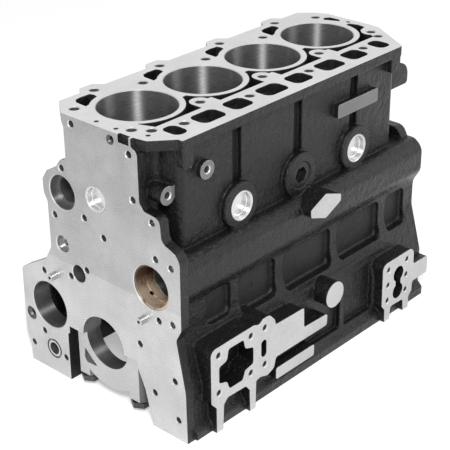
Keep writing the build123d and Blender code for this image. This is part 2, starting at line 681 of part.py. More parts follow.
# Holes and seats that are machined, as solids
with BuildPart() as machining:
    # Head bolt holes and the small holes of the deck
    drill(level(deck_height), head_bolt_places, head_bolt_dia, -head_bolt_depth, hole_chamfer)
    drill(level(deck_height), deck_corner_holes, head_bolt_dia, -corner_hole_depth, hole_chamfer)
    drill(level(deck_height), deck_small_holes, deck_small_hole_dia, -corner_hole_depth)

    # Holes and bores of the front face
    drill(across(0), front_tapped, tapped_dia, tapped_depth, hole_chamfer)
    drill(across(0), [counterbored_hole], counterbore_dia, counterbore_depth)
    drill(across(0), [idler_centre], idler_bore_dia, idler_bore_depth, bore_chamfer)
    drill(across(0), [pump_centre], pump_bore_dia, pump_bore_depth, bore_chamfer)
    drill(across(0), [pump_centre], pump_throat_dia, pump_throat_depth)
    drill(across(0), [front_plug_centre], front_plug_dia, front_plug_seat_depth, hole_chamfer)
    drill(across(0), [gallery_centre], gallery_dia, rear_face)
    drill(across(0), [gallery_centre], gallery_plug_dia, gallery_seat_depth, hole_chamfer)
    drill(across(rear_face), [gallery_centre], gallery_plug_dia, -gallery_seat_depth, hole_chamfer)
    drill(across(0), [smooth_bore_centre], smooth_bore_dia, smooth_bore_depth, hole_chamfer)
    with BuildSketch(across(0)):
        with Locations(ring_seat_centre):
            Circle(ring_seat_r)
            Circle(ring_seat_r - ring_groove, mode=Mode.SUBTRACT)
    extrude(amount=ring_groove)
    drill(across(0), [ring_seat_centre], ring_seat_bore_dia, ring_seat_bore_depth)
    drill(across(0), [stepped_hole_centre], stepped_hole_dias[0], stepped_hole_depths[0], hole_chamfer)
    drill(across(0), [stepped_hole_centre], stepped_hole_dias[1], stepped_hole_depths[1])
    drill(across(0), dowel_centres, dowel_dia + 2 * fit_gap, dowel_length - dowel_stand)

    # Holes of the rear face and the underside of the rails
    drill(across(rear_face), dowel_centres, dowel_dia + 2 * fit_gap, dowel_stand - dowel_length)
    drill(across(rear_face), rear_holes, tapped_dia, -tapped_depth, hole_chamfer)
    drill(across(rear_face), [front_plug_centre], front_plug_dia, -plug_depth)
    drill(level(-sump_depth), sump_holes, tapped_dia, tapped_depth, hole_chamfer)

    # Cast notch where the deck's front edge meets its rib
    with BuildSketch(across(0)):
        with Locations((deck_notch_y, deck_height - deck_notch_height / 2)):
            Rectangle(deck_notch_width, deck_notch_height)
    extrude(amount=deck_notch_depth)

    # Plug seats and holes of the camshaft side
    side_plug_places = [(web_xs[1], plug_z), (web_xs[3], plug_z)]
    seat_depth = boss_face + chamber_outer_y + plug_seat_run_in
    drill(beside(-boss_face), side_plug_places, plug_dia, -seat_depth, hole_chamfer)
    drill(beside(-boss_face), [(web_xs[2], plug_z)], socket_plug_dia, -seat_depth, hole_chamfer)
    drill(beside(-boss_face), [(small_boss_x, small_boss_z)], tapped_dia, -small_boss_r, hole_chamfer)
    drill(beside(-corner_boss_face), [(corner_boss_x, corner_boss_z)], tapped_dia,
          -corner_boss_hole_depth, hole_chamfer)
    with BuildSketch(beside(-pad_face)):
        rounded_face(front_pad_window)
    extrude(amount=-front_pad_window_depth)
    drill(beside(-pad_face), front_pad_holes + rear_pad_holes, pad_hole_dia, -pad_hole_depth, hole_chamfer)
    with BuildSketch(beside(-pad_face)):
        with Locations(front_slot_place):
            RectangleRounded(front_slot_width, front_slot_length, front_slot_r)
    extrude(amount=-pad_hole_depth)
    drill(beside(-pad_face), [(rear_slot_x, z) for z in rear_slot_zs], 2 * rear_slot_r, -rear_slot_depth)
    with BuildSketch(beside(-pad_face)):
        with Locations((rear_slot_x, sum(rear_slot_zs) / 2)):
            Rectangle(rear_slot_waist, rear_slot_zs[0] - rear_slot_zs[1])
    extrude(amount=-rear_slot_depth)

    # Jacket plug seats on the plain side
    jacket_plug_places = [(x, jacket_plug_z) for x in bore_xs]
    drill(beside(plain_wall), jacket_plug_places, plug_dia, jacket_plug_seat_depth, hole_chamfer)

    # Oil hole under the bush of the camshaft
    drill(cam_oil_plane, [(0, 0)], cam_bush_hole_dia, cam_bore_dia / 2 + cam_oil_hole_reach)

    # Cap bolt holes, with seats for the ring dowels
    drill(level(0), cap_bolt_places, cap_bolt_dia + 2 * fit_gap, cap_bolt_reach)
    drill(level(0), cap_bolt_places, ring_dowel_dia + 2 * fit_gap, ring_dowel_height / 2)

# The casting as it is delivered
with BuildPart() as cylinder_block:
    add(casting.part)
    add(hollows.part, mode=Mode.SUBTRACT)
    add(machining.part, mode=Mode.SUBTRACT)
cylinder_block.part.label = "cylinder_block"
export_step(cylinder_block.part, "parts/cylinder_block.step")


# Main bearing caps: an arch between two columns that carry the bolts, machined flat in front and behind
cap_pocket = [(43, -25.8, 1), (44.5, -40, 5), (41, -46.5, 4), (20.7, -45.5, 1)]
for number, x in enumerate(cap_xs, start=1):
    with BuildPart() as main_cap:
        with BuildSketch(across(x - cap_thickness / 2)):
            Circle(cap_arch_r)
            with Locations((0, -cap_arch_r / 2)):
                Rectangle(2 * cap_half_width, cap_arch_r, mode=Mode.INTERSECT)
        extrude(amount=cap_thickness)
        with BuildSketch(level(-cap_seat)):
            with Locations((x, cap_bolt_y), (x, -cap_bolt_y)):
                Circle(cap_boss_r)
        extrude(amount=cap_seat)
        with BuildSketch(across(x - cap_thickness / 2)):
            Rectangle(cap_clip_side, cap_clip_side)
        extrude(amount=cap_thickness, mode=Mode.INTERSECT)
        with BuildSketch(across(x - cap_thickness / 2)):
            rounded_face(cap_pocket)
        extrude(amount=cap_pocket_depth, mode=Mode.SUBTRACT)
        with BuildSketch(across(x - cap_thickness / 2)):
            Circle(crank_bore_dia / 2)
        extrude(amount=cap_thickness, mode=Mode.SUBTRACT)
        with BuildSketch(level(0)):
            with Locations((x, cap_bolt_y), (x, -cap_bolt_y)):
                Circle(cap_bolt_dia / 2 + fit_gap)
        extrude(amount=-cap_seat, mode=Mode.SUBTRACT)
        with BuildSketch(level(0)):
            with Locations((x, cap_bolt_y), (x, -cap_bolt_y)):
                Circle(ring_dowel_dia / 2 + fit_gap)
        extrude(amount=-ring_dowel_height / 2, mode=Mode.SUBTRACT)
    main_cap.part.label = f"main_cap_{number}"
    export_step(main_cap.part, f"parts/main_cap_{number}.step")

with BuildPart() as main_cap_bolts:
    with BuildSketch(level(-cap_seat)):
        with Locations(*cap_bolt_places):
            Circle(cap_bolt_dia / 2)
    extrude(amount=cap_seat + cap_bolt_reach - cap_bolt_tip_gap)
    with BuildSketch(level(-cap_seat)):
        with Locations(*cap_bolt_places):
            Circle(cap_thickness / 2 - cap_bolt_flange_inset)
    extrude(amount=-cap_bolt_flange)
    with BuildSketch(level(-cap_seat - cap_bolt_flange)):
        with Locations(*cap_bolt_places):
            RegularPolygon(cap_bolt_flats / 2, 6, major_radius=False)
    extrude(amount=-(cap_bolt_head - cap_bolt_flange))
main_cap_bolts.part.label = "main_cap_bolts"
export_step(main_cap_bolts.part, "parts/main_cap_bolts.step")

with BuildPart() as main_cap_ring_dowels:
    with BuildSketch(level(-ring_dowel_height / 2)):
        with Locations(*cap_bolt_places):
            Circle(ring_dowel_dia / 2)
            Circle(cap_bolt_dia / 2 + fit_gap, mode=Mode.SUBTRACT)
    extrude(amount=ring_dowel_height)
main_cap_ring_dowels.part.label = "main_cap_ring_dowels"
export_step(main_cap_ring_dowels.part, "parts/main_cap_ring_dowels.step")

# Thin bush in the front camshaft bore, with an oil groove round its wall and an oil hole in the groove
with BuildPart() as cam_bush:
    with BuildSketch(across(cam_bush_recess)):
        with Locations((cam_y, cam_z)):
            Circle(cam_bore_dia / 2 - fit_gap)
            Circle(cam_bore_dia / 2 - cam_bush_wall, mode=Mode.SUBTRACT)
    extrude(amount=cam_bush_length)
    with BuildSketch(across(cam_bush_groove_x - cam_bush_groove_width / 2)):
        with Locations((cam_y, cam_z)):
            Circle(cam_bore_dia / 2 - cam_bush_wall + cam_bush_groove_depth)
    extrude(amount=cam_bush_groove_width, mode=Mode.SUBTRACT)
    with BuildSketch(cam_oil_plane):
        Circle(cam_bush_hole_dia / 2)
    extrude(amount=cam_bore_dia / 2, mode=Mode.SUBTRACT)
cam_bush.part.label = "cam_bush"
export_step(cam_bush.part, "parts/cam_bush.step")

# Pressed cup plugs: each is (name, plane of its open rim, centre on that plane, seat diameter, way in)
cup_plugs = [
    ("front_core_plug", across(plug_recess), front_plug_centre, front_plug_dia, 1),
    ("rear_core_plug", across(rear_face - plug_recess), front_plug_centre, front_plug_dia, -1),
    ("side_core_plug_front", beside(plug_recess - boss_face), (web_xs[1], plug_z), plug_dia, -1),
    ("side_core_plug_rear", beside(plug_recess - boss_face), (web_xs[3], plug_z), plug_dia, -1),
]
for number, x in enumerate(bore_xs, start=1):
    plug_rim = beside(plain_wall - plug_recess)
    cup_plugs.append((f"jacket_plug_{number}", plug_rim, (x, jacket_plug_z), plug_dia, 1))
for name, rim, centre, seat, inward in cup_plugs:
    cup_length = plug_depth - plug_recess
    way_in = Axis((0, 0, 0), inward * rim.z_dir)
    with BuildPart() as cup_hollow:
        with BuildSketch(rim):
            with Locations(centre):
                Circle(seat / 2 - plug_wall)
        extrude(amount=inward * (cup_length - plug_wall))
        fillet(cup_hollow.faces().sort_by(way_in)[-1].edges(), plug_rounding)
        with BuildSketch(rim):
            with Locations(centre):
                Circle(seat / 2 * plug_step_share)
        extrude(amount=inward * (cup_length - plug_wall + plug_step))
    with BuildPart() as cup_plug:
        with BuildSketch(rim):
            with Locations(centre):
                Circle(seat / 2 - fit_gap)
        extrude(amount=inward * cup_length)
        fillet(cup_plug.faces().sort_by(way_in)[-1].edges(), plug_rounding)
        add(cup_hollow.part, mode=Mode.SUBTRACT)
    cup_plug.part.label = name
    export_step(cup_plug.part, f"parts/{name}.step")

# Threaded plug with a hex socket in the middle boss
with BuildPart() as side_socket_plug:
    with BuildSketch(beside(socket_plug_recess - boss_face)):
        with Locations((web_xs[2], plug_z)):
            Circle(socket_plug_dia / 2 - fit_gap)
    extrude(amount=-(boss_face + chamber_outer_y - socket_plug_recess))
    with BuildSketch(beside(socket_plug_recess - boss_face)):
        with Locations((web_xs[2], plug_z)):
            RegularPolygon(socket_across_flats / 2, 6, major_radius=False)
    extrude(amount=-socket_depth, mode=Mode.SUBTRACT)
side_socket_plug.part.label = "side_socket_plug"
export_step(side_socket_plug.part, "parts/side_socket_plug.step")

# Plugs at both ends of the oil gallery
for name, mouth, inward in (("gallery_plug_front", 0, 1), ("gallery_plug_rear", rear_face, -1)):
    face_x = mouth + inward * gallery_plug_recess
    with BuildPart() as gallery_plug:
        with BuildSketch(across(face_x)):
            with Locations(gallery_centre):
                Circle(gallery_plug_dia / 2 - fit_gap)
        extrude(amount=inward * gallery_plug_length)
        with BuildSketch(across(face_x)):
            with Locations(gallery_centre):
                RegularPolygon(gallery_socket_flats / 2, 6, major_radius=False)
        extrude(amount=inward * gallery_plug_length / 2, mode=Mode.SUBTRACT)
    gallery_plug.part.label = name
    export_step(gallery_plug.part, f"parts/{name}.step")

# Hollow locating pins of the front face and the rear face
for name, face_x, inward in (("front_dowel_pins", 0, 1), ("rear_dowel_pins", rear_face, -1)):
    with BuildPart() as dowel_pins:
        with BuildSketch(across(face_x - inward * dowel_stand)):
            with Locations(*dowel_centres):
                Circle(dowel_dia / 2)
                Circle(dowel_hollow_dia / 2, mode=Mode.SUBTRACT)
        extrude(amount=inward * dowel_length)
    dowel_pins.part.label = name
    export_step(dowel_pins.part, f"parts/{name}.step")

# Disc that closes the camshaft tunnel at the rear
with BuildPart() as cam_rear_plug:
    with BuildSketch(across(rear_face - plug_depth)):
        with Locations((cam_y, cam_z)):
            Circle(cam_bore_dia / 2 - fit_gap)
    extrude(amount=cam_plug_thickness)
cam_rear_plug.part.label = "cam_rear_plug"
export_step(cam_rear_plug.part, "parts/cam_rear_plug.step")
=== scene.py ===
from math import hypot, pi, radians

import bpy
from mathutils import Matrix, Vector


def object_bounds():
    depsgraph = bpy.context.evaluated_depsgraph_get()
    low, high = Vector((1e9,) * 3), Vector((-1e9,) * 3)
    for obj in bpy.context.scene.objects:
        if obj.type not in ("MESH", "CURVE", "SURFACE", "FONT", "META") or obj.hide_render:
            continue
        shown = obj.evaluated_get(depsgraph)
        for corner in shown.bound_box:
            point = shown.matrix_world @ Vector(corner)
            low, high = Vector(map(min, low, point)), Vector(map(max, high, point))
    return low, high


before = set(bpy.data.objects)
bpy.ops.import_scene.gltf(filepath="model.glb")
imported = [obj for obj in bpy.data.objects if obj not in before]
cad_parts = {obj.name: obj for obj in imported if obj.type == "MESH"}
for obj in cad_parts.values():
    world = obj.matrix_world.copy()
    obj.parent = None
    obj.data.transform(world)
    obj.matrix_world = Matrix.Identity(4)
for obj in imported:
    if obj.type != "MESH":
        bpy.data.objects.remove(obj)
cad_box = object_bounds()

# Levels and faces of the block that the finishes follow, in metres
DECK_Z = 0.295
SUMP_Z = -0.0827
REAR_X = 0.484
PAD_Y = -0.153
HEX_PAD_Y = -0.144
BOSS_Y = -0.114
BOSS_STRIP_Z = (0.233, 0.261)
BOSS_STRIP_XS = ((0.0, 0.086), (0.3, 0.4))
CORNER_BOSS_Y = -0.097
CORNER_BOSS_END_X = 0.04
BORE_XS = (0.075, 0.187, 0.299, 0.411)
WEB_XS = (0.019, 0.131, 0.243, 0.355, 0.467)
BORE_PITCH = 0.112
CAP_FRONT_XS = (0.006, 0.12, 0.232, 0.344, 0.456)
PASS_LINE_Z = 0.094
NEAR = 0.0003

# Holes along the crankshaft: centres as y and z, then radii
CRANK = (0.0, 0.0)
CAM = (-0.0883, 0.1136)
IDLER = (0.0996, 0.0174)
PUMP = (0.05875, 0.1892)
GALLERY = (0.065, 0.117)
FRONT_PLUG = (-0.0013, 0.1993)
SMOOTH_BORE = (0.0383, 0.085)
RING_SEAT = (0.0968, -0.0473)
STEPPED_HOLE = (0.139, -0.0105)
COUNTERBORED_HOLE = (-0.0323, 0.2843)
CRANK_R = 0.037
CAM_SEAT_R = 0.0283
CAM_R = 0.0255
IDLER_R = 0.0323
PUMP_R = 0.02235
PUMP_THROAT_R = 0.017
GALLERY_SEAT_R = 0.0109
FRONT_PLUG_R = 0.016
SMOOTH_BORE_R = 0.0115
RING_SEAT_R = 0.014
RING_BORE_R = 0.0085
STEP_R = 0.009
STEP_BORE_R = 0.0055
COUNTERBORE_R = 0.0062

# Radii of the other holes
CYLINDER_R = 0.049
SCREW_R = 0.0042
HEAD_BOLT_R = 0.006
DECK_HOLE_R = 0.003
PLUG_R = 0.018
PAD_SCREW_R = 0.0038

# How a face counts as square to an axis, as a chamfer, or as part of a round wall
SQUARE = 0.99
CHAMFER_TILT = (0.3, 0.95)
CHAMFER_REACH = 0.0013
CAP_ROUND_REACH = 0.0008

# Looks that several finishes share
FRONT_SWIRL = (0.0, 0.16, 0.34)
REAR_SWIRL = (0.0, -0.2, -0.1)
UPPER = (0.34, 0.58, 0.24, 0.48)
# Grey of the painted highlight along the edges of milled faces
EDGE_SHEEN = 0.85
BUSH_PALE_Z = 0.108
BUSH_BROWN_Z = 0.124
BUSH_RAGGED = 0.02
WAVE_TURN = 20.0
HONING_SLANTS = (-0.02, 0.02)
HONING_FINENESS = 1300.0

# Colour sockets of a Mix node
MIX_FACTOR, MIX_A, MIX_B, MIX_RESULT = 0, 6, 7, 2

# Floor, light and the middle of the block
MIDDLE = (0.24, 0.0, 0.11)
FLOOR_SIZE = 8.0
FLOOR_TONE = 0.9
FLOOR_ROUGHNESS = 0.8
FLOOR_WHITE = 0.4
AMBIENT = 0.5
WHITE = (1.0, 1.0, 1.0, 1.0)

# Camera of the photograph: place in metres, line of sight, roll in degrees, focal length in pixels
CAMERA_PLACE = (-0.8868, -1.0217, 0.8554)
LINE_OF_SIGHT = (0.65463, 0.60189, -0.45738)
CAMERA_ROLL = -0.607
FOCAL_PIXELS = 1281.4
IMAGE_PIXELS = 450
SENSOR_MM = 36.0


class Finish:
    """Node tree of one material, with short calls for the nodes that the finishes use."""

    def __init__(self, name):
        self.material = bpy.data.materials.new(name)
        self.material.use_nodes = True
        self.tree = self.material.node_tree
        self.shader = self.tree.nodes["Principled BSDF"]
        self.place = self.add("TexCoord").outputs["Object"]

    def add(self, kind, inputs=None, **settings):
        node = self.tree.nodes.new("ShaderNode" + kind)
        for key, value in settings.items():
            setattr(node, key, value)
        for key, value in (inputs or {}).items():
            self.feed(node.inputs[key], value)
        return node

    def feed(self, socket, value):
        """Link another socket to this one, or set a plain value on it."""
        if isinstance(value, bpy.types.NodeSocket):
            self.tree.links.new(value, socket)
        else:
            socket.default_value = value

    def math(self, operation, a, b=0.0, c=0.0, clamp=False):
        return self.add("Math", {0: a, 1: b, 2: c}, operation=operation, use_clamp=clamp).outputs[0]

    def vector(self, operation, a, b=(0.0, 0.0, 0.0)):
        node = self.add("VectorMath", {0: a, 1: b}, operation=operation)
        return node.outputs["Value" if operation == "DOT_PRODUCT" else "Vector"]

    def noise(self, scale, detail=3.0, roughness=0.5, where=None):
        inputs = {"Vector": where or self.place, "Scale": scale, "Detail": detail, "Roughness": roughness}
        return self.add("TexNoise", inputs).outputs["Fac"]

    def ramp(self, value, low, high, to_low=0.0, to_high=1.0):
        """Carry a value from the range low to high over to the range to_low to to_high."""
        inputs = {"Value": value, "From Min": low, "From Max": high, "To Min": to_low, "To Max": to_high}
        return self.add("MapRange", inputs).outputs["Result"]

    def blend(self, factor, a, b):
        """Colour a where the factor is 0, and b where it is 1."""
        node = self.add("Mix", {MIX_FACTOR: factor}, data_type="RGBA")
        self.feed(node.inputs[MIX_A], a)
        self.feed(node.inputs[MIX_B], b)
        return node.outputs[MIX_RESULT]

    def rounding(self, radius):
        """Normal with edges rounded by the radius, and how far it turns from the real one."""
        rounded = self.add("Bevel", {"Radius": radius}, samples=4).outputs["Normal"]
        real = self.add("NewGeometry").outputs["Normal"]
        turned = self.math("SUBTRACT", 1.0, self.vector("DOT_PRODUCT", rounded, real))
        return rounded, turned

    def bump(self, height, distance, normal=None, strength=1.0):
        inputs = {"Height": height, "Distance": distance, "Strength": strength}
        if normal is not None:
            inputs["Normal"] = normal
        return self.add("Bump", inputs).outputs["Normal"]

    def set(self, **inputs):
        for key, value in inputs.items():
            socket = key.replace("_", " ").title().replace("Ior", "IOR")
            self.feed(self.shader.inputs[socket], value)
        return self.material


def grey(level, tint=(1.0, 1.0, 1.0)):
    return (level * tint[0], level * tint[1], level * tint[2], 1.0)


def cast_paint(name, colour, fleck_wear_and_highlight_colour, roughness, edge_radius=0.003, relief=1.0):
    """Satin paint over sand-cast iron: fine grain, soft lumps, and rounded edges a little lighter, partly
    from rubbed wear and partly as a painted highlight.
    """
    f = Finish(name)
    rounded, turned = f.rounding(edge_radius)
    grain = f.noise(scale=260.0, detail=5.0, roughness=0.65)
    lumps = f.noise(scale=70.0, detail=3.0, roughness=0.55)
    patches = f.noise(scale=11.0, detail=4.0, roughness=0.6)
    skin = f.bump(lumps, distance=0.003, normal=rounded, strength=0.8 * relief)
    skin = f.bump(grain, distance=0.0014, normal=skin, strength=0.9 * relief)
    # Rounded edges turn lighter: partly rubbed wear, partly a painted highlight standing in for glints along
    # the edges
    worn = f.math("MULTIPLY", f.ramp(turned, 0.02, 0.3), f.ramp(grain, 0.4, 0.65))
    lighter = tuple(1.8 * c for c in colour[:3]) + (1.0,)
    tone = f.blend(f.ramp(patches, 0.3, 0.7), colour, lighter)
    tone = f.blend(f.math("MULTIPLY", f.ramp(grain, 0.55, 0.75), 0.45), tone, fleck_wear_and_highlight_colour)
    tone = f.blend(worn, tone, fleck_wear_and_highlight_colour)
    shine = f.math(
        "ADD", f.ramp(patches, 0.25, 0.75, roughness - 0.08, roughness + 0.08),
        f.ramp(grain, 0.3, 0.7, -0.06, 0.06),
    )
    return f.set(base_color=tone, roughness=shine, normal=skin, specular_ior_level=0.28)


def milled(name, low, high, roughness, pitch, turn=(0.0, 0.0, 0.0), rings_at=None, upper=None, marks=1.0):
    """Bare milled iron: broken cutter marks a pitch apart, cloudy patches and speckles, and crisp edges
    lightened by a painted highlight.

    rings_at gives the centre of curved marks, and upper the greys above the milling pass line.
    """
    f = Finish(name)
    rounded, turned = f.rounding(0.0007)
    if rings_at:
        where = f.vector("SUBTRACT", f.place, rings_at)
        settings = {"wave_type": "RINGS", "rings_direction": "X"}
    else:
        inputs = {"Vector": f.place, "Rotation": [radians(a) for a in turn]}
        where = f.add("Mapping", inputs).outputs["Vector"]
        settings = {"wave_type": "BANDS", "bands_direction": "X"}
    inputs = {
        "Vector": where, "Scale": 2 * pi / (WAVE_TURN * pitch), "Distortion": 3.5, "Detail": 4.0,
        "Detail Scale": 0.8, "Detail Roughness": 0.75,
    }
    lines = f.add("TexWave", inputs, **settings).outputs["Fac"]
    clouds = f.noise(scale=13.0, detail=6.0, roughness=0.66)
    worn = f.noise(scale=55.0, detail=4.0, roughness=0.7)
    speckle = f.noise(scale=900.0, detail=3.0, roughness=0.7)
    amount = f.ramp(worn, 0.4, 0.65, 0.05 * marks, marks)
    level = f.ramp(clouds, 0.3, 0.7, 0.15, 0.85)
    level = f.math("ADD", level, f.math("MULTIPLY", amount, f.ramp(lines, 0.0, 1.0, -0.22, 0.22)))
    level = f.math("ADD", level, f.ramp(speckle, 0.3, 0.7, -0.5, 0.5), clamp=True)
    tone = f.blend(level, grey(low), grey(high))
    if upper:
        height = f.add("SeparateXYZ", {"Vector": f.place}).outputs["Z"]
        above = f.ramp(height, PASS_LINE_Z - NEAR, PASS_LINE_Z + NEAR)
        graded = f.ramp(height, PASS_LINE_Z, DECK_Z, 0.0, 1.0)
        top = f.blend(level, grey(upper[0]), grey(upper[1]))
        top = f.blend(graded, top, f.blend(level, grey(upper[2]), grey(upper[3])))
        tone = f.blend(above, tone, top)
    # Painted highlight: the edges of the milled face turn to a light grey
    tone = f.blend(f.ramp(turned, 0.03, 0.25), tone, grey(EDGE_SHEEN))
    normal = f.bump(lines, distance=0.00004, normal=rounded, strength=0.6)
    normal = f.bump(speckle, distance=0.00008, normal=normal, strength=0.5)
    shine = f.ramp(clouds, 0.3, 0.7, roughness - 0.06, roughness + 0.06)
    return f.set(base_color=tone, metallic=0.75, roughness=shine, normal=normal)


def honed(name):
    """Honed cylinder wall: crossed fine scratches round the bore, which draw light out along it."""
    f = Finish(name)
    parts = f.add("SeparateXYZ", {"Vector": f.place}).outputs
    offset = f.math("SUBTRACT", parts["X"], BORE_XS[0])
    offset = f.math("WRAP", offset, BORE_PITCH / 2, -BORE_PITCH / 2)
    angle = f.math("ARCTAN2", parts["Y"], offset)
    normal = f.add("NewGeometry").outputs["Normal"]
    around = f.vector("CROSS_PRODUCT", normal, (0.0, 0.0, 1.0))
    tangent = f.vector("CROSS_PRODUCT", around, normal)
    scratches = []
    for slant in HONING_SLANTS:
        height = f.math("MULTIPLY", f.math("MULTIPLY_ADD", angle, slant, parts["Z"]), HONING_FINENESS)
        where = f.add("CombineXYZ", {"X": f.math("MULTIPLY", angle, 3.0), "Y": height}).outputs[0]
        scratches.append(f.noise(scale=1.0, detail=3.0, roughness=0.6, where=where))
    both = f.math("MULTIPLY", scratches[0], scratches[1])
    tone = f.blend(f.ramp(both, 0.15, 0.35), grey(0.14), grey(0.3))
    f.set(base_color=tone, metallic=1.0, roughness=f.ramp(both, 0.15, 0.35, 0.48, 0.54))
    return f.set(anisotropic=1.0, tangent=tangent)


def bored(name, low, high, roughness):
    """Wall of a bore along the crankshaft: fine rings from the boring tool, which draw light out along it."""
    f = Finish(name)
    stretched = f.vector("MULTIPLY", f.place, (1900.0, 18.0, 18.0))
    rings = f.noise(scale=1.0, detail=4.0, roughness=0.7, where=stretched)
    clouds = f.noise(scale=40.0, detail=3.0, roughness=0.6)
    level = f.math("ADD", f.ramp(rings, 0.3, 0.7, 0.1, 0.9), f.ramp(clouds, 0.3, 0.7, -0.2, 0.2), clamp=True)
    tone = f.blend(level, grey(low), grey(high))
    along = f.add("CombineXYZ", {"X": 1.0, "Y": 0.0, "Z": 0.0}).outputs[0]
    f.set(base_color=tone, metallic=0.9, roughness=f.ramp(rings, 0.3, 0.7, roughness, roughness + 0.08))
    return f.set(anisotropic=0.9, tangent=along)


def turned_metal(name, low, high, roughness, metallic=0.9):
    """Turned, drilled or pressed metal with a faint uneven sheen."""
    f = Finish(name)
    clouds = f.noise(scale=60.0, detail=4.0, roughness=0.6)
    fine = f.noise(scale=1100.0, detail=2.0, roughness=0.5)
    level = f.math("ADD", f.ramp(clouds, 0.3, 0.7, 0.2, 0.8), f.ramp(fine, 0.25, 0.75, -0.2, 0.2), clamp=True)
    tone = f.blend(level, grey(low), grey(high))
    shine = f.ramp(clouds, 0.3, 0.7, roughness - 0.05, roughness + 0.05)
    normal = f.bump(fine, distance=0.00001)
    return f.set(base_color=tone, metallic=metallic, roughness=shine, normal=normal)


def bearing_bush(name, pale_colour, brown, rust):
    """Worn bearing metal: pale at the foot, dark brown higher up, with rust in patches."""
    f = Finish(name)
    height = f.add("SeparateXYZ", {"Vector": f.place}).outputs["Z"]
    stains = f.noise(scale=45.0, detail=5.0, roughness=0.7)
    ragged = f.math("MULTIPLY_ADD", stains, BUSH_RAGGED, height)
    # Pale below BUSH_PALE_Z and dark brown above BUSH_BROWN_Z, with a ragged line between
    tone = f.blend(f.ramp(ragged, BUSH_PALE_Z, BUSH_BROWN_Z), pale_colour, brown)
    tone = f.blend(f.ramp(f.noise(scale=90.0, detail=5.0, roughness=0.7), 0.52, 0.7), tone, rust)
    fine = f.noise(scale=900.0, detail=3.0, roughness=0.6)
    shine = f.ramp(fine, 0.3, 0.7, 0.34, 0.5)
    normal = f.bump(fine, distance=0.00004, strength=0.5)
    return f.set(base_color=tone, metallic=0.6, roughness=shine, normal=normal)


FINISHES = {
    "paint": cast_paint("cast_paint", grey(0.006, (1.0, 1.02, 1.06)), grey(0.06), 0.22),
    "cavity": cast_paint("cast_cavity", grey(0.006), grey(0.04), 0.5, relief=0.6),
    "deck": milled("milled_deck", 0.6, 0.74, 0.45, 0.0016, (0.0, 0.0, 32.0), marks=0.4),
    "front": milled("milled_front", 0.4, 0.64, 0.42, 0.003, rings_at=FRONT_SWIRL, upper=UPPER),
    "rear": milled("milled_rear", 0.42, 0.58, 0.42, 0.003, rings_at=REAR_SWIRL),
    "side": milled("milled_side", 0.4, 0.58, 0.4, 0.0026),
    "strip": milled("milled_strip", 0.14, 0.22, 0.42, 0.002),
    "rail": milled("milled_rail", 0.44, 0.56, 0.4, 0.002),
    "honed": honed("honed_bore"),
    "bored": bored("bored_iron", 0.14, 0.3, 0.34),
    "drilled": turned_metal("drilled_iron", 0.22, 0.4, 0.34, 0.85),
    "chamfer": turned_metal("chamfered_iron", 0.45, 0.62, 0.38),
    "cap": milled("milled_cap", 0.42, 0.56, 0.42, 0.003, rings_at=FRONT_SWIRL),
    "cap_cast": cast_paint("cap_cast", grey(0.1), grey(0.26), 0.5, edge_radius=0.0015, relief=0.5),
    "bolt": turned_metal("bolt_steel", 0.05, 0.11, 0.42),
    "bright": turned_metal("bright_steel", 0.42, 0.56, 0.24),
    "cup": turned_metal("cup_plug_steel", 0.56, 0.68, 0.26),
    "bush": bearing_bush(
        "bush_metal", (0.66, 0.52, 0.39, 1.0), (0.14, 0.08, 0.05, 1.0), (0.22, 0.09, 0.04, 1.0),
    ),
    "plug_paint": cast_paint("plug_paint", grey(0.008), grey(0.06), 0.36, edge_radius=0.001, relief=0.4),
}

